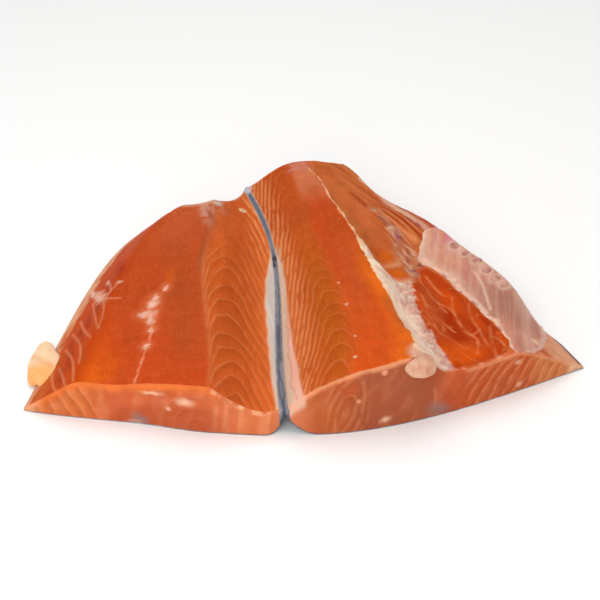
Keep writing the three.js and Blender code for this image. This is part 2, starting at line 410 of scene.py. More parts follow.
# Raw salmon muscle, knife cut: wet, lit from within, with thin sheets of fat between its segments
def makeMuscle():
    look = dict(line="#E59560", inside="#8E330A", fibre="#DD7D48", dusk="#9C3E16", deep="#8A330E",
                lit="#E88A52")
    material, tree = newMaterial("raw_salmon_muscle")
    grain = attributeOf(tree, "grain")
    clouds = calc(tree, "MULTIPLY", stepBetween(tree, mottle(tree, (7, 20, 7), 3), 0.42, 0.72), 0.32)
    colour = mixed(tree, calc(tree, "MULTIPLY", clouds, grain), attributeOf(tree, "tone", "Color"),
                   hexColour(look["dusk"]))
    grit = mottle(tree, (2.0, 4.5, 2.0), 3, 0.6)
    darker = calc(tree, "MULTIPLY", stepBetween(tree, grit, 0.5, 0.75), calc(tree, "MULTIPLY", grain, 0.13))
    colour = mixed(tree, darker, colour, hexColour(look["deep"]))
    lighter = calc(tree, "MULTIPLY", stepBetween(tree, grit, 0.5, 0.25), calc(tree, "MULTIPLY", grain, 0.1))
    colour = mixed(tree, lighter, colour, hexColour(look["lit"]))
    fibres = mottle(tree, (0.8, 6.0, 0.9), 3, 0.6)
    fibreShare = calc(tree, "MULTIPLY", stepBetween(tree, fibres, 0.45, 0.8),
                      calc(tree, "MULTIPLY", grain, 0.12))
    colour = mixed(tree, fibreShare, colour, hexColour(look["fibre"]))
    wander = calc(tree, "MULTIPLY", calc(tree, "SUBTRACT", mottle(tree, (8, 10, 8), 1), 0.5), 0.4)
    drift = calc(tree, "MULTIPLY", calc(tree, "SUBTRACT", mottle(tree, (24, 30, 24), 1), 0.5), 1.3)
    wander = calc(tree, "ADD", wander, calc(tree, "MULTIPLY", drift, grain))
    phase = calc(tree, "ADD", attributeOf(tree, "segment"), wander)
    strength = attributeOf(tree, "lineShare")
    inside = stepBetween(tree, calc(tree, "FRACT", phase), 0.25, 0.97)
    inside = calc(tree, "MULTIPLY", calc(tree, "MULTIPLY", inside, calc(tree, "POWER", strength, 0.7)),
                  0.56)
    colour = mixed(tree, inside, colour, hexColour(look["inside"]))
    distance = calc(tree, "DIVIDE", calc(tree, "PINGPONG", phase, 0.5), attributeOf(tree, "segmentRate"))
    line = calc(tree, "SUBTRACT", 1.0, stepBetween(tree, distance, 0.0, attributeOf(tree, "lineReach")))
    breaks = stepBetween(tree, mottle(tree, (4, 9, 4), 2), 0.25, 0.55)
    lineShare = calc(tree, "MULTIPLY", calc(tree, "MULTIPLY", line, breaks), strength)
    colour = mixed(tree, calc(tree, "MULTIPLY", lineShare, 0.72), colour, hexColour(look["line"]))
    relief = calc(tree, "ADD", calc(tree, "MULTIPLY", fibres, 0.4), calc(tree, "MULTIPLY", grit, 0.6))
    finishSurface(tree, colour, wetFlesh, relief, 0.0003)
    return material


# Salmon skin, scaled: silver grey on the flanks, dark blue-grey along the back, damp
def makeSkin():
    look = dict(gap="#45484F", stain="#6D6F75", scale=3.2)
    material, tree = newMaterial("scaled_salmon_skin")
    patches = calc(tree, "MULTIPLY", stepBetween(tree, mottle(tree, (3, 8, 3), 3), 0.4, 0.7), 0.35)
    colour = mixed(tree, patches, attributeOf(tree, "tone", "Color"), hexColour(look["stain"]))
    place = addNode(tree, "ShaderNodeTexCoord").outputs["Object"]
    sizes = [1000 / look["scale"], 800 / look["scale"], 1000 / look["scale"]]
    scaled = addNode(tree, "ShaderNodeMapping", None, {"Vector": place, "Scale": sizes})
    scales = addNode(tree, "ShaderNodeTexVoronoi", None, {"Vector": scaled.outputs[0], "Scale": 1.0})
    rims = calc(tree, "MULTIPLY", stepBetween(tree, scales.outputs["Distance"], 0.3, 0.7),
                attributeOf(tree, "scaly"))
    colour = mixed(tree, calc(tree, "MULTIPLY", rims, 0.5), colour, hexColour(look["gap"]))
    values = {"Roughness": 0.34, "IOR": 1.4, "Coat Weight": 0.25, "Coat Roughness": 0.2}
    finishSurface(tree, colour, values, rims, 0.0002)
    return material


# Soft tissue of one tone field: strand lines along it, a wet sheen and light that goes in
def makeTissue(name, strand, strandShare, cloud, values):
    material, tree = newMaterial(name)
    clouds = stepBetween(tree, mottle(tree, (3.5, 6, 3.5), 3), 0.45, 0.75)
    colour = mixed(tree, calc(tree, "MULTIPLY", clouds, 0.3), attributeOf(tree, "tone", "Color"),
                   hexColour(cloud))
    place = addNode(tree, "ShaderNodeCombineXYZ", None,
                    {0: attributeOf(tree, "across"), 1: attributeOf(tree, "along"), 2: 0.0}).outputs[0]
    strands = addNode(tree, "ShaderNodeTexNoise", None,
                      {"Vector": place, "Scale": 1.0, "Detail": 3.0, "Roughness": 0.6}).outputs["Fac"]
    lit = stepBetween(tree, strands, 0.42, 0.66)
    colour = mixed(tree, calc(tree, "MULTIPLY", lit, strandShare), colour, hexColour(strand))
    finishSurface(tree, colour, {**wetFlesh, **values}, lit, 0.00012)
    return material


muscle = makeMuscle()
skinFinish = makeSkin()
# Belly lining: a thin moist membrane, pinkish, with pale parallel strands
lining = makeTissue("belly_lining_membrane", "#DDB5A0", 0.24, "#A97A6C", {"Roughness": 0.3})
# Connective tissue and fat: cream to pink, soft and torn
tissue = makeTissue("connective_fat", "#F0D3B8", 0.35, "#C98A76",
                    {"Subsurface Weight": 0.35, "Roughness": 0.34})
# Belly fat, pale yellow and almost see-through
softFat = makeTissue("pale_belly_fat", "#F8DDB4", 0.2, "#EDAE70",
                     {"Subsurface Weight": 0.5, "Roughness": 0.3})
print("materials made")

# Marks read off the fish, in plan millimetres. Borders are [y, x], lines and blots are (x, y, ...).
crestLeft = [(0, -35), (12, -34), (28, -32), (98, -32), (116, -31), (132, -28), (148, -24), (162, -21),
             (209, -14)]
crestRight = [(0, 31), (10, 32.6), (18, 35.8), (49, 37.5), (67, 36.7), (86, 35.5), (102, 34.3), (140, 31),
              (209, 27)]
bandLeft = [(0, 58), (11, 60), (17, 62.5), (28, 63), (45, 62.5), (59, 61), (68, 57.5), (77, 56), (93, 54),
            (105, 52.5), (122, 52), (131, 49.5), (146, 48), (165, 44), (182, 41), (195, 37.5), (209, 34)]
bandRight = [(0, 80), (12, 80.5), (19, 79), (27, 78), (34, 76.5), (43, 75), (66, 73.5), (80, 74), (88, 71),
             (97, 62), (104, 60.5), (108, 58.5), (116, 57), (122, 54.5), (131, 51.5), (146, 49), (165, 45),
             (182, 42), (195, 38.5), (209, 35)]
hollowLeft = [(12, 81), (19, 79.5), (27, 78.5), (34, 76.5), (43, 75), (66, 73.5), (88, 75), (103, 79),
              (109, 84)]
hollowRight = [(12, 102), (16, 104), (20, 108), (28, 111), (39, 110), (52, 107), (66, 103), (81, 98),
               (96, 93), (109, 86)]
borderLeft = [(0, -4), (26, -3.5), (58, -2.3), (92, -0.3), (110, 2), (130, 5.8), (138, 7.6), (209, 0)]
borderRight = [(0, 9), (27, 9.5), (44, 9.5), (61, 10), (86, 11.5), (106, 12.2), (122, 12), (135, 11),
               (140, 10), (209, 2)]


# Fat sheets between the muscle segments: arches over each slope, and rings or lines on the front cut
arches = {
    -1: dict(period=12.4, start=9.6, apex=0.64, steep=4.2, bend=8.0, crestFall=1.5),
    1: dict(period=11.6, start=4.0, apex=0.74, steep=5.6, bend=7.0, crestFall=1.4)}


def acrossSlope(loin, x, y):
    seamX = seamPoint((y - seam["front"]) / seamLength)[0]
    crestX = lineAlong(crestLeft if loin["side"] < 0 else crestRight, y)
    return (x - seamX) / (crestX - seamX), np.abs(crestX - seamX)


# Toward the seam the arches bend until they run nearly along it, toward the crest they close up on it
def segmentOnTop(loin, x, y):
    look = arches[loin["side"]]
    share, span = acrossSlope(loin, x, y)
    inward = np.maximum(look["apex"] - share, 0) * span
    toCrest = (1.03 - look["apex"]) * span
    outward = np.clip((share - look["apex"]) * span / toCrest, 0, 0.965)
    fall = look["steep"] * (np.hypot(inward, look["bend"]) - look["bend"])
    fall = fall + look["crestFall"] * toCrest * (-np.log(1 - outward) - 0.85 * outward)
    return (y - look["start"] + fall) / look["period"]


def segmentOnCut(loin, x, z):
    if loin["side"] > 0:
        rings = (np.hypot(x - 28 - 0.22 * (z - 12), (z - 12) / 2.6) - 1.2) / 3.3
        leaning = (x - 0.52 * z - 86.5 - 0.012 * (z - 10) ** 2) / 6.2
        return mix(rings, leaning, ease((x - 60) / 15))
    arcs = np.hypot(x + 40, (z - 2) / 1.2) / 5.5
    return mix((x + 0.43 * z + 92.1) / 7.0, arcs, ease((x + 82) / 14))


def rateOf(values, x, y):
    step = 0.05
    alongX = (values(x + step, y) - values(x - step, y)) / (2 * step)
    alongY = (values(x, y + step) - values(x, y - step)) / (2 * step)
    return np.maximum(np.hypot(alongX, alongY), 0.02)


leftMarks = dict(
    pinLine=[(-68, 19), (-66, 27), (-63, 40), (-60, 52), (-58, 66), (-56, 73)],
    pinPatches=[(-60.5, 74.5, 4.0, 2.6, -8), (-59, 69, 1.6, 3.4), (-57.3, 83, 2.6, 3.4, -35),
                (-55.5, 88, 1.4, 2.0),
                (-50.3, 94.5, 1.1, 2.2, -20), (-58.7, 60, 1.2, 1.8), (-61.5, 47, 1.3, 1.8)],
    pinGlow=(-48.5, 102, 2.2, 9, -14),
    chevrons=[[(-88.7, 103), (-86.4, 79), (-84.8, 68)], [(-82.6, 95), (-82.5, 82), (-84.8, 68)],
              [(-95, 90.5), (-92.5, 76), (-88.6, 63)],
              [(-99, 81.5), (-94.6, 65.5), (-93.4, 53), (-93.7, 43)],
              [(-102, 68), (-97.9, 53), (-96.4, 39), (-96.2, 28.6)],
              [(-104.6, 53), (-101.8, 39), (-100, 26.6)],
              [(-108.5, 53.6), (-106.9, 38), (-105, 30)]],
    rimLine=[(-92, 112), (-94.5, 104), (-98, 95), (-101.5, 86), (-104, 77), (-107, 67), (-109.5, 54),
             (-112, 43)],
    lenses=[(-90.4, 82, 1.9, 9), (-94.2, 72, 2.0, 9), (-98.8, 65, 1.7, 9), (-98.8, 51, 2.0, 9),
            (-103, 43, 1.7, 9), (-86, 92, 1.8, 9), (-80, 110, 2.2, 12), (-74, 126, 2.6, 12)],
    whites=[(-85, 104.5, 2.4, 8.5, 15), (-89, 117, 1.2, 7, 12), (-74.1, 108.6, 1.6, 1.8),
            (-80.4, 117, 0.8, 3)],
    twigs=[[(-83, 98), (-77.4, 93.3), (-73.8, 92)], [(-83, 98), (-78.8, 103.2), (-80.6, 119.8)],
           [(-78.8, 103.2), (-76.4, 106), (-74.1, 108.6)]],
    crestCrease=[(-22, 178), (-24, 164), (-27, 150), (-29, 136), (-31, 120), (-32, 104)],
    rearPink=[(-21, 178, 7, 9), (-26, 168, 3, 12, 8)], rearWhite=(-18, 181, 2.4, 3),
    rearPurple=(-23, 165, 1.4, 9, 12),
    speck=(-4, 181.5, 1.8, 2.4, 30))


def leftTones(s, t, x, y, frontDistance):
    share, _ = acrossSlope(leftLoin, x, y)
    slope = ease((1.03 - share) / 0.07)
    tone = plainTone(x, "#BA471C")
    tone = paint(tone, ease((70 - frontDistance) / 60), "#C2461A")
    tone = paint(tone, 0.8 * bump(x, -42, 15) * ease((frontDistance - 5) / 30), "#B04A20")
    tone = paint(tone, ease((y - 118) / 45), "#BC522A")
    tone = paint(tone, blot(x, y, (-90, 36, 13, 15), 0.6), "#DA5A12")
    tone = paint(tone, blot(x, y, (-84, 58, 9, 20), 0.6) * 0.6, "#CC4A12")
    tone = paint(tone, slope, "#C75A24")
    tone = paint(tone, slope * ease((0.42 - share) / 0.35), "#D4692D")
    tone = paint(tone, 0.55 * slope * ease((48 - y) / 30), "#DA622A")
    tone = paint(tone, 0.25 * slope * bump(share, 0.66, 0.3) * ease((130 - y) / 30), "#B04A12")
    tone = paint(tone, 0.2 * bump(share, 1.0, 0.09), "#C4683E")
    tone = paint(tone, 0.5 * bump(share, 1.02, 0.13) * ease((y - 95) / 25), "#A1542F")
    # Belly slope: dark lenses of muscle between pale lines, then a pale rim that widens to the rear
    zTop = topHeight(leftLoin, np.minimum(s, 0.7), t)
    slopeLength = (zTop - form["bellyEdge"]) / valueAlong(leftLoin["bellySlope"], t)
    down = 1 - (1 - s) * loinWidth(leftLoin, t) / slopeLength
    # The belly slope's own deep orange, painted more saturated to make up for the shade and grazing sheen
    # it gets facing away from the lamps
    tone = paint(tone, ease((down + 0.3) / 0.4) * 0.95, "#BA4006")
    for lens in leftMarks["lenses"]:
        tone = paint(tone, 0.9 * blot(x, y, lens, 0.6), "#A42E00")
    rimStart = valueAlong([(40, 0.56), (70, 0.64), (90, 0.74), (115, 0.72), (200, 0.66)], y)
    edgeWave = 0.06 * softNoise(x, y, 6, 8)
    tone = paint(tone, 0.5 * ease((down - rimStart + edgeWave) / 0.16), "#C8642C")
    paleFrom = valueAlong([(85, 0.84), (110, 0.74), (200, 0.68)], y)
    tone = paint(tone, 0.85 * ease((down - paleFrom + edgeWave) / 0.1), "#DDA27C")
    for line in leftMarks["chevrons"]:
        tone = paint(tone, 0.7 * stroke(x, y, line, 0.3, 0.7), "#EA9A6C")
    rimBreaks = ease(0.8 + softNoise(x, y, 5, 18))
    tone = paint(tone, 0.7 * rimBreaks * stroke(x, y, leftMarks["rimLine"], 0.8, 1.2), "#E2A078")
    for line in leftMarks["twigs"]:
        tone = paint(tone, 0.7 * stroke(x, y, line, 0.35, 0.8), "#E8A183")
    for spot in leftMarks["whites"]:
        frayed = 0.9 * softNoise(x, y, 2.2, 14)
        tone = paint(tone, 0.95 * blot(x + frayed, y + 2 * frayed, spot, 0.8), "#E5B29A")
    # Line of cut pin-bone ends
    broken = 0.62 + 0.38 * softNoise(x, y, 2.6, 15)
    jag = 0.5 * softNoise(x, y, 2.2, 19)
    tone = paint(tone, broken * stroke(x + jag, y, leftMarks["pinLine"], 0.5, 0.6), "#F0956F")
    tone = paint(tone, 0.4 * blot(x, y, leftMarks["pinGlow"], 0.8), "#D8610F")
    for spot in leftMarks["pinPatches"]:
        ragged = 0.7 * softNoise(x, y, 1.6, 16) + 0.5 * softNoise(x, y, 0.9, 13)
        tone = paint(tone, 0.6 * blot(x, y, (spot[0], spot[1] + 0.5, spot[2] + 1.6, spot[3] + 2), 0.9),
                     "#D87A52")
        tone = paint(tone, 0.95 * blot(x + ragged, y + 1.5 * ragged, spot, 0.6), "#EBB8A4")
    # Remnants by the backbone at the rear
    ragged = ease(0.7 + 0.8 * softNoise(x, y, 3.6, 17))
    for spot in leftMarks["rearPink"]:
        tone = paint(tone, 0.8 * blot(x, y, spot, 0.8) * ragged, "#C58F78")
    tone = paint(tone, 0.8 * blot(x, y, leftMarks["rearPurple"], 0.5) * ragged, "#A4563F")
    tone = paint(tone, blot(x, y, leftMarks["rearWhite"], 0.5), "#C9CDBB")
    tone = paint(tone, blot(x, y, leftMarks["speck"], 0.4), "#EBD3A8")
    tone = paint(tone, 0.8 * ease((t - 0.95) / 0.035) * ease((-12 - x) / 8), "#D6A484")
    tone = paint(tone, 0.6 * ease((t - 0.975) / 0.02) * ragged, "#B28F7E")
    tone = paint(tone, 0.55 * stroke(x + jag, y, leftMarks["crestCrease"], 0.4, 0.9), "#8C3F22")
    nearCrest = mix(0.42, 0.08, ease((y - 108) / 40))
    lineShare = slope * mix(nearCrest, mix(0.3, 1.0, ease((y - 115) / 35)), ease((0.48 - share) / 0.3))
    lineShare = lineShare + 0.06 * (1 - slope) * ease((0.1 - down) / 0.1)
    return tone, lineShare


rightMarks = dict(
    shade=(27.5, 62, 6.5, 62, 0),
    veins=[[(83, 101), (82, 93), (84, 85), (84, 79), (87, 71), (89, 63)],
           [(86, 99), (88, 90), (90, 82), (92, 78)],
           [(95, 76), (93, 66), (93, 59), (93, 53), (95, 43), (98, 36), (97, 29), (95, 22)],
           [(102, 68), (100, 60), (100, 50), (101, 43), (101, 35), (102, 26)],
           [(107, 46), (105, 36), (104, 27), (103, 18)], [(101, 43), (97, 40), (94, 44)],
           [(81, 41), (86, 36), (91, 28)], [(79, 76), (80, 62), (86, 50), (89, 44)],
           [(87, 71), (91, 67), (93, 59)],
           [(80, 56), (84, 50), (83, 43)], [(105, 36), (108, 31), (109, 25)]],
    fingers=[(66, 114, 7.5, 8), (70.5, 97, 7.5, 7)],
    tatters=[(79.5, 119, 4.6, 11, 12), (84, 112, 4.5, 5), (80, 104, 3.2, 6), (68.6, 154.5, 2.6, 3.2, 30),
             (72, 144.5, 2.4, 5, 28), (75.6, 135, 3.2, 6, 22)],
    rearRim=[(67, 190), (74, 178), (78.7, 163), (83, 156), (88.3, 148.5), (93.6, 141), (97, 137)],
    rearStains=[(86.4, 147.2, 1.2, 3, 30), (90, 142.4, 1.3, 2.6, 30), (76.7, 132, 1.1, 2.2, 20)],
    rearDark=[(60, 168, 1.8, 7, 22), (63, 160, 1.2, 4, 25), (81.5, 121, 1.4, 3, 20), (80, 114.5, 1.2, 2.6)],
    topPink=[(31, 205, 6, 2.2), (36, 200, 3.5, 2.5), (27, 201, 4, 1.8)],
    tipLines=[[(133, 33), (137, 24), (139, 16)], [(138, 31), (142, 24), (144, 18)]])


def rightTones(s, t, x, y, frontDistance):
    share, _ = acrossSlope(rightLoin, x, y)
    slope = ease((1.08 - share) / 0.26)
    toBand = lineAlong(bandLeft, y) - x
    tone = plainTone(x, "#BC4719")
    tone = paint(tone, ease((100 - frontDistance) / 70), "#CF5018")
    tone = paint(tone, 0.85 * ease((13 - toBand) / 14) * ease((130 - y) / 60), "#E66E14")
    tone = paint(tone, 0.4 * bump(x, 44, 9) * ease((y - 25) / 30) * ease((140 - y) / 40), "#BC5228")
    tone = paint(tone, ease((y - 155) / 32), "#C46E4A")
    tone = paint(tone, slope, "#BF541E")
    tone = paint(tone, slope * ease((0.5 - share) / 0.3), "#CC6630")
    tone = paint(tone, 0.8 * blot(x, y, rightMarks["shade"], 0.8) * slope, "#AF5310")
    tone = paint(tone, slope * ease((y - 125) / 40) * 0.8, "#B24A1C")
    # Past the step: bare muscle, brownish to the rear, deep red in the hollow
    past = ease((-toBand + 0.5) / 1.5)
    tone = paint(tone, past, "#BF6233")
    tone = paint(tone, 0.6 * past * ease((y - 118) / 10) * ease(softNoise(x, y, 6, 21)), "#A5562A")
    tone = paint(tone, past * ease((x - 62) / 12) * ease((y - 118) / 12), "#B5552C")
    stripe = streaks(x, y, -57, 1.0, 30, 22)
    striped = past * ease((x - 68 + 0.33 * np.maximum(y - 140, 0)) / 6) * ease((y - 122) / 8)
    striped = striped * mix(1, 0.35, ease((y - 150) / 14))
    tone = paint(tone, 0.8 * striped * ease(stripe * 1.8), "#DD8A55")
    tone = paint(tone, 0.8 * striped * ease(-stripe * 1.8), "#983408")
    ragged = 1.4 * softNoise(x, y, 3.2, 23) + 0.7 * softNoise(x, y, 1.3, 24)
    bare = ease((x - lineAlong(hollowLeft, y) + ragged) / 1.2)
    bare = bare * ease((lineAlong(hollowRight, y) + 1 - x) / 1.2)
    bare = bare * ease((108 - y) / 3) * past
    fringe = past * bump(x - lineAlong(hollowLeft, y) + ragged, 0, 2.6) * ease((106 - y) / 4)
    tone = paint(tone, bare, "#AF3A0B")
    tone = paint(tone, bare * ease(0.1 + 1.5 * streaks(x, y, 100, 3.6, 20, 25)), "#A22A02")
    tone = paint(tone, 0.8 * bare * ease(0.1 + 1.5 * streaks(x, y, 100, 4.5, 24, 26)), "#C8480A")
    tone = paint(tone, 0.7 * bare * blot(x, y, (82, 66, 6, 24, -6), 0.6), "#B4491F")
    tone = paint(tone, bare * blot(x, y, (88, 24, 12, 9), 0.6), "#CF4F0C")
    finest = ease(1 - np.abs(streaks(x, y, 105, 4.2, 14, 28)) / 0.09) * ease(0.4 + softNoise(x, y, 7, 29))
    tone = paint(tone, 0.45 * bare * finest, "#DE8852")
    for line in rightMarks["veins"]:
        bright = 0.5 + 0.45 * softNoise(x, y, 5, 30)
        tone = paint(tone, bright * bare * stroke(x, y, line, 0.4, 0.9), "#E48C5A")
    between = past * ease((lineAlong(hollowLeft, y) - x + 1) / 1.5) * ease((100 - y) / 6)
    tone = paint(tone, between, "#DDAC95")
    tone = paint(tone, 0.65 * fringe * ease(0.2 + 1.5 * softNoise(x, y, 2.6, 31)), "#A25A58")
    tone = paint(tone, 0.8 * fringe * ease(-0.1 + 1.5 * softNoise(x, y, 1.8, 32)), "#E5BFAA")
    frontal = past * ease((x - 74) / 4) * ease((4.5 - frontDistance) / 3)
    tone = paint(tone, frontal, "#D0643A")
    tone = paint(tone, 0.6 * frontal * ease(softNoise(x, y, 3.2, 33) * 2), "#EBB598")
    for x0, y0, wide, high in rightMarks["fingers"]:
        tone = paint(tone, 0.7 * past * blot(x, y, (x0 + 1.4, y0 - 2.4, wide, high), 0.3), "#DDA47C")
        tone = paint(tone, past * blot(x, y, (x0, y0, wide - 0.4, high - 0.4), 0.5), "#C2561C")
        tone = paint(tone, 0.6 * past * blot(x, y, (x0 + 1.5, y0 - 1, wide * 0.5, high * 0.5), 0.8),
                     "#D2640F")
    torn = np.maximum.reduce([blot(x, y, spot, 0.6) for spot in rightMarks["tatters"]])
    tone = paint(tone, 0.75 * torn, "#B4734E")
    tone = paint(tone, 0.85 * torn * ease(0.4 + 1.5 * streaks(x, y, -62, 2.2, 7, 27)), "#CE9C7E")
    tone = paint(tone, 0.7 * torn * ease(0.1 + 1.6 * streaks(x, y, -70, 2.4, 6, 34)), "#AC7468")
    tone = paint(tone, 0.7 * torn * ease(-0.5 + 1.9 * streaks(x, y, -50, 2.2, 5, 35)), "#E4BEA2")
    tone = paint(tone, 0.85 * torn * ease(-0.7 + 1.8 * streaks(x, y, -75, 1.8, 4.5, 36)), "#7A3B40")
    waved = x + 0.7 * softNoise(x, y, 4, 39)
    for spot in rightMarks["rearDark"]:
        tone = paint(tone, 0.7 * blot(waved, y, spot, 0.8), "#94381C")
    for spot in rightMarks["topPink"]:
        tone = paint(tone, 0.7 * blot(x, y, spot, 0.6) * ease(0.6 + softNoise(x, y, 2, 37)), "#C27F78")
    # Painted light: a pale band on top along the front edge, where the wet cut edge catches the lamps
    front = ease((2.2 + ragged - frontDistance) / 1.6) * ease((x - 9) / 3) * ease((60 - x) / 3)
    tone = paint(tone, 0.6 * front, "#EFA26C")
    tone = paint(tone, blot(x + 0.5 * ragged, y, (65, 9, 6.5, 7), 0.4), "#DDAA8E")
    outline = (1 - s) * loinWidth(rightLoin, t)
    tone = paint(tone, 0.8 * ease((11 - outline) / 4) * ease((y - 122) / 8)
                 * ease(0.5 + 1.3 * softNoise(x, y, 4, 38)), "#CF8672")
    tone = paint(tone, 0.75 * stroke(waved, y, rightMarks["rearRim"], 2.2, 1.6), "#DDB196")
    for spot in rightMarks["rearStains"]:
        tone = paint(tone, 0.85 * blot(waved, y, spot, 0.6), "#8F4650")
    tip = ease((x + 0.5 * y - 146) / 8) * ease((70 - y) / 6)
    tone = paint(tone, tip, "#DA9672")
    for line in rightMarks["tipLines"]:
        tone = paint(tone, 0.7 * tip * stroke(x, y, line, 0.5, 0.8), "#E8B898")
    tone = paint(tone, 0.85 * ease((2.6 - outline) / 1.0) * ease((58 - y) / 4), "#4B474F")
    lineShare = slope * mix(mix(0.28, 0.12, ease((y - 75) / 45)), 0.9, ease((0.62 - share) / 0.35))
    return tone, lineShare + 0.05 * (1 - slope) * (1 - past)


frontMarks = dict(
    leftGrey=[(-67.6, 3.6, 2.8, 3.0), (-64.4, 2.6, 2.4, 2.0)], leftAsh=[(-69, 1.4, 3.0, 1.1)],
    leftWhite=[(-52.8, 12.1, 1.2, 1.2), (-45.3, 17.4, 3.6, 1.9), (-60, 20, 4, 0.9)],
    rightWhite=[(47.2, 5.0, 2.1, 1.3, 20), (116.2, 4.3, 1.3, 1.5), (114.4, 18.6, 1.5, 1.3)],
    rightPink=[(34.3, 18.5, 1.0, 1.1), (46, 33.5, 1.4, 1.6)],
    rightGrey=[(72.1, 5.2, 4.2, 3.6), (76, 3.2, 4, 2)],
    rightLine=[(71, 18), (71.8, 12), (71.5, 7)])


def cutTones(side, x, z, top, onFront):
    depth = top - z
    patchy = softNoise(x, z, 4.5, 56)
    if side < 0:
        tone = plainTone(x, "#C9613A")
        tone = paint(tone, ease((-78 - x) / 18), "#D4733F")
        tone = paint(tone, ease((x + 40) / 14), "#D27246")
        tone = paint(tone, 0.35 * ease(0.2 + streaks(x, z, 80, 3.2, 14, 57)), "#E08E62")
        tone = paint(tone, 0.55 * ease((x + 38) / 8) * ease(0.2 + streaks(x, z, 84, 2.2, 16, 51)),
                     "#E79A6C")
        tone = paint(tone, 0.4 * ease(softNoise(x, z, 8, 52)), "#C4614A")
        tone = paint(tone, 0.6 * ease((depth - 9) / 6) * ease((x + 84) / 12) * ease((-24 - x) / 10),
                     "#AE4F30")
        # Painted light along the wet top edge of the cut: a brighter orange band over its top few
        # millimetres, and a pale line right at the edge
        tone = paint(tone, 0.95 * ease((5.5 + 1.5 * patchy - depth) / 5) * ease((-28 - x) / 10), "#E07338")
        edge = ease((2.4 + patchy - depth) / 1.6) * ease((x + 36) / 6) * ease((-5 - x) / 4)
        tone = paint(tone, 0.8 * edge * ease(0.3 + 1.4 * softNoise(x, z, 2.6, 53)), "#EEB087")
        tone = paint(tone, 0.6 * ease((-111 - x) / 6), "#E6B084")
        grey, ash, white = (frontMarks[k] for k in ("leftGrey", "leftAsh", "leftWhite"))
    else:
        # The right cut is darker in its middle, from about x 38 to 66, and lighter toward either end:
        # partly the flesh's own pinker tone, partly painted shade
        tone = plainTone(x, "#A2563A")
        tone = paint(tone, ease((38 - x) / 14), "#B65C34")
        tone = paint(tone, ease((16 - x) / 10), "#CB744D")
        tone = paint(tone, ease((x - 66) / 14), "#BC5630")
        tone = paint(tone, 0.6 * blot(x, z, (30, 26, 4, 5), 0.5), "#B84A16")
        tone = paint(tone, 0.3 * ease(0.2 + streaks(x, z, 60, 3.0, 12, 58)), "#D07C58")
        tone = paint(tone, ease((x - 118) / 12), "#CD7E4E")
        tone = paint(tone, ease((x - 140) / 8), "#DDB695")
        tone = paint(tone, 0.35 * ease(softNoise(x, z, 9, 54)), "#9A4430")
        ragged = 0.3 * softNoise(x, 0 * z, 1.7, 59) + 0.5 * softNoise(x, 0 * z, 5, 60)
        # Painted light along the wet top edge of the cut: a pale band up to x 60, and a narrower one past x
        # 84
        wetEdgeLight = ease((2.4 + ragged - depth) / 2.4) * ease((60 - x) / 3)
        tone = paint(tone, 0.7 * wetEdgeLight, "#EDA273")
        tone = paint(tone, 0.55 * ease((2.0 + ragged - depth) / 1.4) * ease((x - 84) / 6), "#E09870")
        tone = paint(tone, ease((11 - x) / 2.5) * ease((8 - depth) / 5), "#E0AC92")
        tone = paint(tone, 0.5 * stroke(x, z, frontMarks["rightLine"], 0.5, 0.8), "#D08A66")
        grey, ash, white = frontMarks["rightGrey"], [], frontMarks["rightWhite"]
        for spot in frontMarks["rightPink"]:
            tone = paint(tone, onFront * blot(x, z, spot, 0.5), "#E79A7C")
    for spot in grey:
        tone = paint(tone, 0.55 * onFront * blot(x, z, spot, 0.9), "#7E7672")
    for spot in ash:
        tone = paint(tone, 0.6 * onFront * blot(x, z, spot, 0.8), "#CFA98F")
    for spot in white:
        wavy = 0.5 * softNoise(x, z, 1.6, 50)
        tone = paint(tone, 0.75 * onFront * blot(x + wavy, z + wavy, spot, 0.8), "#F2C6A6")
    tone = paint(tone, 0.5 * ease((1.5 - z) / 1.0), "#A9705F")
    return tone


# Flesh
flesh = dict(columns={-1: 196, 1: 226}, topRows=300, frontRows=42, rearRows=14, bottomRows=24,
             edgeRadius=1.8, edgeRows=5, overSkin=0.45,
             grooveHalf=[(0, 2.0), (0.3, 1.75), (0.5, 1.4), (0.62, 1.3), (0.7, 1.1), (0.8, 1.4), (1, 1.3)])


# Rows of one loin's surface, from the rear foot over the top to the front foot and back underneath:
# place along the fillet, share of the way down the cut or round the edge, and which surface it is
def fleshRows():
    radius = flesh["edgeRadius"] / seamLength
    turns = np.linspace(0, 0.5 * np.pi, flesh["edgeRows"] + 2)[1:-1]
    rows = [(1.0, 1 - h, "cut") for h in np.linspace(0, 1, flesh["rearRows"])]
    rows += [(1 - radius * (1 - math.cos(a)), 1 - math.sin(a), "edge") for a in turns]
    rows += [(t, 0.0, "top") for t in np.linspace(1 - radius, radius, flesh["topRows"])]
    rows += [(radius * (1 - math.sin(a)), 1 - math.cos(a), "edge") for a in turns]
    rows += [(0.0, h, "cut") for h in np.linspace(0, 1, flesh["frontRows"])]
    rows += [(t, 0.0, "bottom") for t in np.linspace(0, 1, flesh["bottomRows"] + 2)[1:-1]]
    return rows


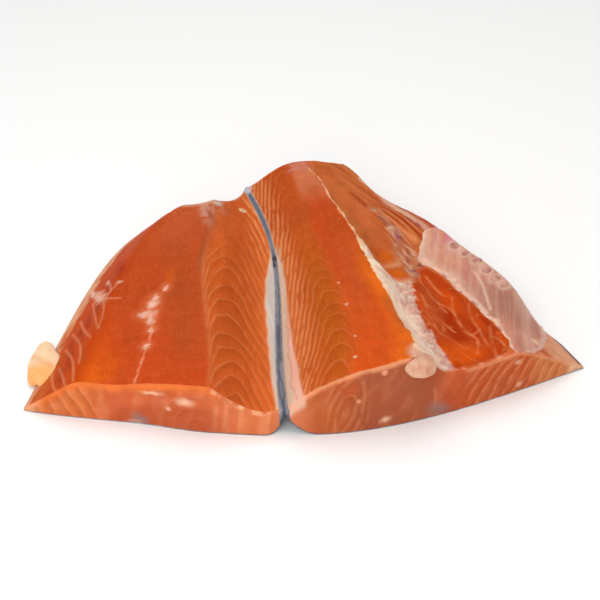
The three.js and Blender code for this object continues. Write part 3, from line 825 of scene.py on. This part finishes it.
def fleshFields(loin, s, t, x, y, z, top, isCut, isEdge):
    side = loin["side"]
    frontDistance = y - planPoint(loin, s, 0 * t)[1]
    onFront = t < 0.5
    tone, lineShare = (leftTones if side < 0 else rightTones)(s, t, x, y, frontDistance)
    # Fat along the seam: beige by the skin, cream to pinkish outside, a thin line of it to the rear
    border = lineAlong(borderLeft if side < 0 else borderRight, y)
    ragged = 0.35 * softNoise(x, y, 7, 61) + 0.1 * softNoise(x, y, 1.8, 62)
    inside = (border - x) * side + ragged * ease((150 - y) / 20)
    fade = ease((142 - y) / 8)
    reach = s * loinWidth(loin, t)
    half = valueAlong(flesh["grooveHalf"], t)
    if side < 0:
        tone = paint(tone, fade * ease((inside + 0.6) / 1.6), "#D6AF93")
        tone = paint(tone, fade * 0.9 * ease((inside - 0.6) / 1.8), "#BDB3AE")
        tone = paint(tone, fade * 0.5 * ease((inside - 0.4) / 1.2)
                     * ease(streaks(x, y, 92, 1.0, 16, 63) * 1.6), "#D8CDC4")
    else:
        tone = paint(tone, fade * ease((inside + 0.6) / 1.6), "#E2AA93")
        tone = paint(tone, fade * 0.5 * ease((inside - 0.6) / 1.2)
                     * ease(streaks(x, y, 96, 1.2, 18, 64) * 1.6), "#EBC4B4")
        tone = paint(tone, fade * 0.85 * ease((half + 3.4 - reach) / 1.4), "#CDB39B")
        tone = paint(tone, fade * 0.5 * bump(reach, half + 3.2 + 3 * ragged, 0.7) * ease((100 - y) / 10),
                     "#B8744F")
    tone = paint(tone, ease((half + 0.7 - reach) / 0.5) * ease((y - 128) / 12), "#D5AE8E")
    # A pale silvery spot at the seam's rear end: the skin's own silver, with a painted highlight on it
    tone = paint(tone, ease((4.2 - np.hypot(x - 0.5, y - 206)) / 1.2), "#B9B8C4")
    onFat = ease((inside + 0.6) / 1.0) * fade
    lineShare = lineShare * (1 - onFat)
    # The front cut, blended into the top over the rounded edge
    cut = cutTones(side, x, z, top, onFront)
    flat = isCut | isEdge
    cutShare = np.maximum(np.where(flat, 1.0, 0.0), 0.8 * ease((1.0 - frontDistance) / 1.0))
    tone = mix(tone, cut, cutShare[..., None])
    onTop = segmentOnTop(loin, x, y)
    onCut = segmentOnCut(loin, x, z)
    topRate = rateOf(lambda a, b: segmentOnTop(loin, a, b), x, y)
    cutRate = rateOf(lambda a, b: segmentOnCut(loin, a, b), x, z)
    if side < 0:
        cutLines = np.maximum(0.55 * ease((-84 - x) / 6), 0.14 * ease((-34 - x) / 6) * ease((x + 60) / 6))
    else:
        cutLines = np.maximum(0.34 * ease((13 - np.abs(x - 29)) / 6), 0.55 * ease((x - 84) / 8))
    cutLines = cutLines * ease((top - z - 1.2) / 1.0)
    lineShare = np.clip(np.where(flat, cutLines, lineShare), 0, 1)
    return dict(tone=tone, segment=np.where(flat, onCut, onTop),
                segmentRate=np.where(flat, cutRate, topRate),
                lineReach=np.where(flat, 1.5, 0.75 + 0.5 * lineShare), lineShare=lineShare,
                grain=np.where(flat, 0.6, 1.0) * (1 - onFat))


def makeFlesh(loin):
    side = loin["side"]
    columns = flesh["columns"][side]
    rows = fleshRows()
    t = np.array([row[0] for row in rows])[None, :]
    down = np.array([row[1] for row in rows])[None, :]
    kind = np.array([row[2] for row in rows])
    isEdge, isCut, isBottom = (kind == label for label in ("edge", "cut", "bottom"))
    half = valueAlong(flesh["grooveHalf"], t) / loinWidth(loin, t)
    s = half + (1 - half) * np.linspace(0, 1, columns)[:, None]
    t = t + 0 * s
    x, y = planPoint(loin, s, t)
    top = topHeight(loin, s, t)
    skinLow = bottomHeight(loin, s, t)
    low = skinLow + np.minimum(flesh["overSkin"], 0.5 * (top - skinLow))
    radius = np.minimum(flesh["edgeRadius"], 0.35 * (top - low))
    z = np.where(isEdge, top - radius * down, top)
    z = np.where(isCut, mix(top - radius, low, down), z)
    z = np.where(isBottom, low, z)
    fields = fleshFields(loin, s, t, x, y, z, top, isCut, isEdge)
    z = z + np.where(isCut | isBottom, 0, fineRelief(s, x, y))
    points = np.stack([x, y, z], -1).reshape(-1, 3)
    count = len(rows)
    faces = []
    for i in range(columns - 1):
        for k in range(count):
            after = (k + 1) % count
            faces.append((i * count + k, i * count + after, (i + 1) * count + after, (i + 1) * count + k))
    over = [k for k in range(count) if not isBottom[k]]
    under = [over[0]] + [k for k in reversed(range(count)) if isBottom[k]] + [over[-1]]
    places = [row[0] for row in rows]
    for i in (0, columns - 1):
        cap = zipRows([i * count + k for k in over], [i * count + k for k in under],
                      [places[k] for k in over], [places[k] for k in under])
        faces += cap if i else [tuple(reversed(face)) for face in cap]
    name = "flesh_left" if side < 0 else "flesh_right"
    return finishPiece(closedMesh(name, points, faces, fields, muscle))


makeFlesh(leftLoin)
makeFlesh(rightLoin)
print("flesh made")

# Skin: one shell under both loins. It comes up flush between them in the seam.
skin = dict(columns=80, rows=170, crowding=1.9, thickness=0.6, sunk=0.3, rise=(0.4, 1.2),
            darkSpots=[(9.2, 130.5, 1.5, 2.6), (8.2, 124.5, 1.3, 2.2)], flank="#A6A9AD", back="#4E5262")


def makeSkinShell():
    t = np.linspace(0, 1, skin["rows"])[None, :]
    upper, lower, tones, scaly = [], [], [], []
    for loin in (leftLoin, rightLoin):
        shares = np.linspace(0, 1, skin["columns"])[:, None] ** skin["crowding"]
        s = (shares[:0:-1] if loin["side"] < 0 else shares) + 0 * t
        along = t + 0 * s
        width = loinWidth(loin, along)
        x, y = planPoint(loin, s, along)
        low = bottomHeight(loin, s, along)
        half = valueAlong(flesh["grooveHalf"], along)
        near, far = skin["rise"]
        inSeam = ease((half + far - s * width) / (far - near))
        high = mix(low + skin["thickness"], topHeight(loin, s, along) - skin["sunk"], inSeam)
        upper.append(np.stack([x, y, high], -1))
        lower.append(np.stack([x, y, low], -1))
        reach = s * width
        tone = paint(plainTone(x, skin["flank"]), ease(1 - reach / 60), skin["back"])
        band = paint(plainTone(x, "#474A5C"), ease((reach - 0.3 * half) / (0.7 * half)), "#A39D9C")
        band = paint(band, ease(0.5 + 1.3 * softNoise(x, y, 2.4, 71)) * 0.5, "#4A4A58")
        band = paint(band, ease((y - 135) / 15) * 0.35, "#6C7480")
        band = paint(band, 0.45 * ease(streaks(x, y, 89, 0.9, 14, 72) * 1.6), "#9A989E")
        for spot in skin["darkSpots"]:
            band = paint(band, blot(x, y, spot, 0.4), "#1F1A2A")
        # A pale silvery spot at the seam's rear end: the skin's own silver, with a painted highlight on it
        band = paint(band, blot(x, y, (0.5, 206, 4, 4), 0.4), "#B9B8C4")
        tones.append(np.where((inSeam > 0.02)[..., None], band, tone))
        scaly.append(1 - ease(inSeam * 3))
    upper, lower = np.concatenate(upper), np.concatenate(lower)
    tones, scaly = np.concatenate(tones), np.concatenate(scaly)
    under = paint(plainTone(lower[..., 0], skin["flank"]), ease(1 - np.abs(lower[..., 0] - 4) / 60),
                  skin["back"])
    points = np.concatenate([upper.reshape(-1, 3), lower.reshape(-1, 3)])
    fields = dict(tone=np.concatenate([tones.reshape(-1, 4), under.reshape(-1, 4)]),
                  scaly=np.concatenate([scaly.ravel(), np.ones(scaly.size)]))
    return finishPiece(closedMesh("skin", points, slabFaces(*upper.shape[:2]), fields, skinFinish))


makeSkinShell()
print("skin made")


# Strips of tissue that lie on the right loin. left and right are their sides in plan as [y, x].
def drapedStrip(name, strip, toneAt, material):
    rows, columns, seed = strip["rows"], strip["columns"], strip["seed"]
    y = np.linspace(*strip["span"], rows)[None, :]
    u = np.linspace(0, 1, columns)[:, None]
    u = mix(u, 0.5 - 0.5 * np.cos(np.pi * u), 0.6)
    torn = strip["ragged"] * ease((y - strip["span"][0]) / 4)
    sides = []
    for side, salt in (("left", 0), ("right", 2)):
        fray = softNoise(y, 0 * y, 4.5, seed + salt) + 0.5 * softNoise(y, 0 * y, 1.7, seed + salt + 1)
        sides.append(lineAlong(strip[side], y) + torn * fray)
    if "scallop" in strip:
        pitch, depth, start, end = strip["scallop"]
        waves = depth * np.abs(np.sin(np.pi * y / pitch))
        sides[1] = sides[1] + waves * ease((y - start) / 5) * ease((end - y) / 5)
    begin = np.clip((y - strip["span"][0]) / strip["roundEnds"], 0.02, 1)
    end = np.clip((strip["span"][1] - y) / strip["roundEnds"], 0.02, 1)
    narrowed = np.sqrt(1 - (1 - np.minimum(begin, end)) ** 2)
    middle = mix(sides[0], sides[1], 0.5)
    x = middle + (mix(sides[0], sides[1], u) - middle) * narrowed
    y = y + 0 * u
    s, t = sharesAt(rightLoin, x, y, 1.05)
    inner = np.minimum(s, 1)
    z = topHeight(rightLoin, inner, t) + fineRelief(inner, x, y)
    along = (y - strip["span"][0]) / (strip["span"][1] - strip["span"][0])
    ends = ease(along / strip["endShare"]) * ease((1 - along) / strip["endShare"])
    body = (1 - np.abs(2 * u - 1) ** strip["edgePower"]) * ends
    narrow = ease((sides[1] - sides[0]) / 5)
    lump = 1 + strip["lumps"] * softNoise(x, y, strip["lumpSize"], seed + 5)
    lump = lump + strip["shreds"] * softNoise(x, y, 1.7, seed + 6)
    lump = lump + strip["folds"] * streaks(x, y, 90 - strip["lean"], 3.2, 40, seed + 7)
    high = z + strip["height"] * body * lump * (0.35 + 0.65 * narrow) + 0.05
    low = z - 0.4
    points = np.concatenate([np.stack([x, y, high], -1).reshape(-1, 3),
                             np.stack([x, y, low], -1).reshape(-1, 3)])
    tone = toneAt(x, y, u)
    lean = math.radians(strip["lean"])
    c, d = math.cos(lean), math.sin(lean)
    across = (x * c - y * d) / strip["strand"][0] + 0.5 * softNoise(x, y, 14, seed + 8)
    run = (x * d + y * c) / strip["strand"][1] + 0.3 * softNoise(x, y, 5, seed + 9)
    fields = dict(tone=np.tile(tone.reshape(-1, 4), (2, 1)), across=np.tile(across.ravel(), 2),
                  along=np.tile(run.ravel(), 2))
    return finishPiece(closedMesh(name, points, slabFaces(columns, rows), fields, material))


band = dict(rows=240, columns=34, span=(9, 200), left=bandLeft, right=bandRight, seed=80, ragged=1.0,
            edgePower=3.0, endShare=0.03, lumps=0.5, shreds=0.5, folds=0.0, lumpSize=4.0, height=1.2,
            lean=8, strand=(1.5, 7), roundEnds=6)


def bandTones(x, y, u):
    fluffy = softNoise(x, y, 4, 91) + 0.6 * softNoise(x, y, 1.8, 94)
    tone = plainTone(x, "#EFD2BA")
    tone = paint(tone, 0.75 * ease(0.2 + 1.3 * softNoise(x, y, 5, 95)), "#E0B4A0")
    tone = paint(tone, 0.7 * ease((u - 0.3) / 0.3) * ease(fluffy * 1.2), "#CB958A")
    tone = paint(tone, 0.6 * ease((u - 0.55) / 0.3) * ease((96 - y) / 10), "#C98874")
    stains = ease((u - 0.6 + 0.1 * fluffy) / 0.2) * ease((94 - y) / 10)
    tone = paint(tone, 0.75 * stains * ease(0.3 + 1.4 * softNoise(x, y, 3.2, 92)), "#C0908A")
    tone = paint(tone, 0.55 * stains * ease(-0.5 + 1.8 * softNoise(x, y, 2.4, 93)), "#A45C5C")
    tone = paint(tone, 0.7 * ease(-0.5 + 1.8 * softNoise(x, y, 2.2, 96)), "#F4DDC8")
    tone = paint(tone, ease((y - 100) / 20), "#E4A878")
    tone = paint(tone, 0.75 * ease((y - 92) / 8) * ease(0.3 + 1.7 * softNoise(y, 0 * y, 5, 97)), "#D27A42")
    tone = paint(tone, 0.8 * ease((y - 140) / 14), "#DA8B58")
    tone = paint(tone, 0.6 * ease((0.12 - u) / 0.1), "#EFB078")
    return tone


linen = dict(rows=250, columns=64, span=(20, 141), seed=100, ragged=0.7, edgePower=9.0, endShare=0.03,
             lumps=0.3, lumpSize=7.0, height=0.8, shreds=0.0, folds=0.35, roundEnds=5, lean=14.5,
             strand=(2.7, 40), scallop=(9.4, 1.0, 74, 134),
             left=[(18, 112), (20, 110.5), (28, 112), (39, 111), (52, 108), (66, 104), (81, 99), (91, 97),
                   (104, 91), (109, 87), (116, 85), (126, 89), (136, 92), (141, 94)],
             right=[(18, 118), (24, 124), (36, 133), (50, 138.5), (62, 141.5), (66, 142), (70, 139.5),
                    (80, 137.5), (92, 134), (98, 130.5), (110, 125), (120, 120), (130, 115), (141, 108)])


def linenTones(x, y, u):
    tone = plainTone(x, "#C4826C")
    tone = paint(tone, ease((y - 88) / 25), "#CF8A70")
    tone = paint(tone, blot(x, y, (120, 64, 12, 22, 15), 0.6), "#A66F5C")
    tone = paint(tone, ease((40 - y) / 12), "#C08068")
    tone = paint(tone, 0.5 * ease(0.1 + 1.5 * streaks(x, y, 75.5, 3.4, 44, 111)), "#DBA892")
    tone = paint(tone, 0.45 * ease(0.1 + 1.5 * streaks(x, y, 75.5, 2.6, 36, 112)), "#B0665C")
    tone = paint(tone, 0.8 * ease((y - 124) / 6) * ease(0.5 + 1.5 * streaks(x, y, 75.5, 2.2, 30, 113)),
                 "#C4707A")
    tone = paint(tone, 0.5 * ease((0.3 - u) / 0.2) * ease((y - 60) / 30), "#D9AE93")
    edgeWave = 0.04 * softNoise(x, y, 3, 114)
    tone = paint(tone, 0.85 * ease((0.11 - u + edgeWave) / 0.08), "#E4BBA4")
    tone = paint(tone, 0.7 * ease((0.05 - u) / 0.04) * ease(softNoise(x, y, 2.6, 115) * 2 - 0.4), "#93485A")
    tone = paint(tone, 0.75 * stroke(x, y, [(112, 98), (113, 86), (112, 72), (111, 60)], 0.8, 0.9),
                 "#E2BCA4")
    tone = paint(tone, 0.8 * ease((u - 0.86 + edgeWave) / 0.08), "#D9AA94")
    for spotX, spotY in ribEnds["places"]:
        tone = paint(tone, 0.75 * blot(x, y, (spotX, spotY, 4.0, 4.9, -35), 0.6), "#D6B09D")
    tone = paint(tone, blot(x, y, (128, 36, 2.2, 2.8), 0.6), "#E0B48C")
    tone = paint(tone, blot(x, y, (101, 49, 1.4, 2.0), 0.5), "#8C4452")
    return tone


ribEnds = dict(places=[(107.5, 126), (112.2, 118.3), (116.3, 108.5), (118.8, 98.5), (121.4, 89.5),
                       (124.2, 82.6)],
               radius=2.4, lowest=(0.8, 1.1, 0.3), highest=(1.2, 1.6, 0.42), turn=-0.6, lift=0.75, seed=3)
drapedStrip("connective_band", band, bandTones, tissue)
drapedStrip("belly_lining", linen, linenTones, lining)
print("tissue made")


# Soft oval lumps
def lumpMesh(name, lump, toneAt, material):
    rings, sectors = 60, 90
    polar = np.linspace(0, np.pi, rings)[1:-1, None]
    around = np.linspace(0, 2 * np.pi, sectors, endpoint=False)[None, :]
    unit = np.stack([np.sin(polar) * np.cos(around), np.sin(polar) * np.sin(around),
                     np.cos(polar) + 0 * around], -1)
    unit = np.concatenate([[[0, 0, 1]], unit.reshape(-1, 3), [[0, 0, -1]]])
    swell = 1 + lump["wobble"] * softNoise(unit[:, 0] * 3 + unit[:, 2], unit[:, 1] * 3, 1.0, lump["seed"])
    p = unit * swell[:, None]
    p[:, 0] *= 1 - lump["taper"] * p[:, 1]
    p = p * np.array(lump["radii"])
    c, d = math.cos(lump["droop"]), math.sin(lump["droop"])
    p = np.stack([p[:, 0] * c + p[:, 2] * d, p[:, 1], -p[:, 0] * d + p[:, 2] * c], -1)
    c, d = math.cos(lump["turn"]), math.sin(lump["turn"])
    p = np.stack([p[:, 0] * c - p[:, 1] * d, p[:, 0] * d + p[:, 1] * c, p[:, 2]], -1)
    p = p + np.array(lump["centre"])
    last = len(p) - 1
    faces = []
    for j in range(sectors):
        after = (j + 1) % sectors
        faces.append((0, 1 + j, 1 + after))
        for i in range(rings - 3):
            a = 1 + i * sectors
            faces.append((a + j, a + sectors + j, a + sectors + after, a + after))
        a = 1 + (rings - 3) * sectors
        faces.append((last, a + after, a + j))
    fields = dict(tone=toneAt(*p.T), across=p[:, 0] / 7, along=p[:, 1] / 9)
    return finishPiece(closedMesh(name, p, faces, fields, material))


knob = dict(centre=(62.8, 4.6, 33.0), radii=(8.0, 7.6, 4.9), taper=0, droop=0.12, turn=0.15, wobble=0.025,
            seed=4)
leaf = dict(centre=(-112.5, 64, 3.8), radii=(8.4, 17, 2.3), taper=0.35, droop=-0.22, turn=0.05,
            wobble=0.12, seed=9)


def knobTones(x, y, z):
    tone = plainTone(x, "#D09A7C")
    tone = paint(tone, 0.85 * blot(x, z - 0.25 * y, (62.0, 35.6, 3.8, 1.7), 0.7), "#B9735E")
    tone = paint(tone, 0.4 * ease((x - 68) / 4), "#DFA88C")
    return paint(tone, 0.35 * ease(0.2 + 1.5 * softNoise(x, z, 2.8, 98)), "#E6C2A4")


def leafTones(x, y, z):
    tone = plainTone(x, "#ECCAA4")
    tone = paint(tone, ease((66 - y - 0.4 * (x + 112)) / 12), "#EDA862")
    tone = paint(tone, 0.35 * bump(y + 1.2 * (x + 112), 62, 4.5), "#E0823E")
    return paint(tone, 0.7 * ease((x + 107) / 3), "#E3A283")


lumpMesh("tissue_knob", knob, knobTones, tissue)
lumpMesh("fat_leaf", leaf, leafTones, softFat)


# Many small ovals of one kind, made by one node tree: an oval lump set at each place, no two of one size
def ovalTree():
    tree = bpy.data.node_groups.new("oval_lumps", "GeometryNodeTree")
    sockets = [("Places", "NodeSocketGeometry"), ("Radius", "NodeSocketFloat"),
               ("Smallest", "NodeSocketVector"),
               ("Largest", "NodeSocketVector"), ("Turn", "NodeSocketVector"), ("Seed", "NodeSocketInt"),
               ("Finish", "NodeSocketMaterial")]
    for label, kind in sockets:
        tree.interface.new_socket(label, in_out="INPUT", socket_type=kind)
    tree.interface.new_socket("Lumps", in_out="OUTPUT", socket_type="NodeSocketGeometry")
    given = addNode(tree, "NodeGroupInput").outputs
    ball = addNode(tree, "GeometryNodeMeshIcoSphere", None, {"Radius": given["Radius"], "Subdivisions": 4})
    sizes = addNode(tree, "FunctionNodeRandomValue", dict(data_type="FLOAT_VECTOR"),
                    {0: given["Smallest"], 1: given["Largest"], "Seed": given["Seed"]})
    placed = addNode(tree, "GeometryNodeInstanceOnPoints", None,
                   {"Points": given["Places"], "Instance": ball.outputs["Mesh"], "Rotation": given["Turn"],
                    "Scale": sizes.outputs[0]})
    real = addNode(tree, "GeometryNodeRealizeInstances", None, {0: placed.outputs[0]})
    smooth = addNode(tree, "GeometryNodeSetShadeSmooth", None, {0: real.outputs[0]})
    finished = addNode(tree, "GeometryNodeSetMaterial", None,
                       {"Geometry": smooth.outputs[0], "Material": given["Finish"]})
    addNode(tree, "NodeGroupOutput", None, {"Lumps": finished.outputs[0]})
    return tree


ovals = ovalTree()


def placeOvals(name, kind, loin, material):
    at = np.array(kind["places"], float)
    z = surfaceAt(loin, at[:, 0], at[:, 1]) + kind["lift"]
    mesh = bpy.data.meshes.new(name)
    mesh.from_pydata(((np.column_stack([at, z]) + planShift) / 1000).tolist(), [], [])
    holder = bpy.data.objects.new(name + "_places", mesh)
    bpy.context.scene.collection.objects.link(holder)
    modifier = holder.modifiers.new("ovals", "NODES")
    modifier.node_group = ovals
    values = {"Radius": kind["radius"] / 1000, "Smallest": kind["lowest"], "Largest": kind["highest"],
              "Turn": (0, 0, kind["turn"]), "Seed": kind["seed"], "Finish": material}
    for item in ovals.interface.items_tree:
        if item.item_type == "SOCKET" and item.name in values:
            modifier[item.identifier] = values[item.name]
    bpy.context.view_layer.update()
    evaluated = holder.evaluated_get(bpy.context.evaluated_depsgraph_get())
    made = bpy.data.meshes.new_from_object(evaluated)
    holder.modifiers.clear()
    bpy.data.objects.remove(holder)
    piece = bpy.data.objects.new(name, made)
    bpy.context.scene.collection.objects.link(piece)
    print(name, len(kind["places"]), "ovals")
    return finishPiece(piece)


# Cut rib ends in the lining, brownish and moist, and specks of fat, cream
def makeOvalFinish(name, text, stain):
    material, tree = newMaterial(name)
    stained = calc(tree, "MULTIPLY", stepBetween(tree, mottle(tree, (5, 5, 5), 4, 0.6), 0.35, 0.65), 0.9)
    colour = mixed(tree, stained, hexColour(text), hexColour(stain))
    finishSurface(tree, colour, {**wetFlesh, "Roughness": 0.35})
    return material


specksRight = dict(places=[(36.8, 54.7), (36.6, 28), (34.3, 12.4), (36, 76)],
                   radius=1.2, lowest=(0.6, 0.6, 0.25), highest=(1.2, 1.4, 0.4), turn=0.3, lift=0.0, seed=9)
specksLeft = dict(places=[(-58.7, 60.5), (-61.8, 45.5), (-64, 35), (-57, 67), (-4, 181.5)],
                  radius=0.8, lowest=(0.4, 0.5, 0.3), highest=(1.4, 1.8, 0.5), turn=-0.2, lift=0.0, seed=11)
placeOvals("rib_ends", ribEnds, rightLoin, makeOvalFinish("cut_rib_ends", "#A56E62", "#CC9C88"))
fatSpeck = makeOvalFinish("specks_of_fat", "#DC9C7A", "#D17F5C")
placeOvals("specks_right", specksRight, rightLoin, fatSpeck)
placeOvals("specks_left", specksLeft, leftLoin, fatSpeck)
print("ovals placed")

# Camera at the photograph's place: 36 degrees down, turned 7 degrees, and soft studio light
shot = dict(place=(-45.8, -430.5, 393.3), look=(0.0986, 0.8030, -0.5878), lens=75, sensor=36)
camera = bpy.data.objects.new("camera", bpy.data.cameras.new("camera"))
camera.location = Vector((np.array(shot["place"]) + planShift) / 1000)
camera.rotation_euler = Vector(shot["look"]).to_track_quat("-Z", "Y").to_euler()
camera.data.lens = shot["lens"]
camera.data.sensor_width = shot["sensor"]
bpy.context.scene.collection.objects.link(camera)
bpy.context.scene.camera = camera

lamps = dict(
    overhead=dict(place=(0.0, 0.1, 1.0), size=1.1, power=5.8),
    front=dict(place=(-0.25, -0.8, 0.45), size=0.8, power=4.1),
    side=dict(place=(-0.8, -0.2, 0.5), size=0.6, power=0.7))
for name, lamp in lamps.items():
    light = bpy.data.lights.new(name, "AREA")
    light.size = lamp["size"]
    light.energy = lamp["power"]
    holder = bpy.data.objects.new(name, light)
    holder.location = lamp["place"]
    holder.rotation_euler = (-Vector(lamp["place"])).to_track_quat("-Z", "Y").to_euler()
    bpy.context.scene.collection.objects.link(holder)
surroundings = dict(colour="#FFFFFF", strength=0.5)
world = bpy.data.worlds.new("studio")
world.use_nodes = True
world.node_tree.nodes["Background"].inputs[0].default_value = hexColour(surroundings["colour"])
world.node_tree.nodes["Background"].inputs[1].default_value = surroundings["strength"]
bpy.context.scene.world = world
bpy.context.scene.view_settings.view_transform = "Standard"

floorHalf = 3.0
floorMesh = bpy.data.meshes.new("floor")
floorMesh.from_pydata([(-floorHalf, -floorHalf, 0), (floorHalf, -floorHalf, 0), (floorHalf, floorHalf, 0),
                       (-floorHalf, floorHalf, 0)], [], [(0, 1, 2, 3)])
floor = bpy.data.objects.new("floor", floorMesh)
bpy.context.scene.collection.objects.link(floor)
floorFinish, floorTree = newMaterial("pale_matt_paper")
finishSurface(floorTree, hexColour("#F8F7F6"), {"Roughness": 0.8, "Specular IOR Level": 0.1})
floorMesh.materials.append(floorFinish)
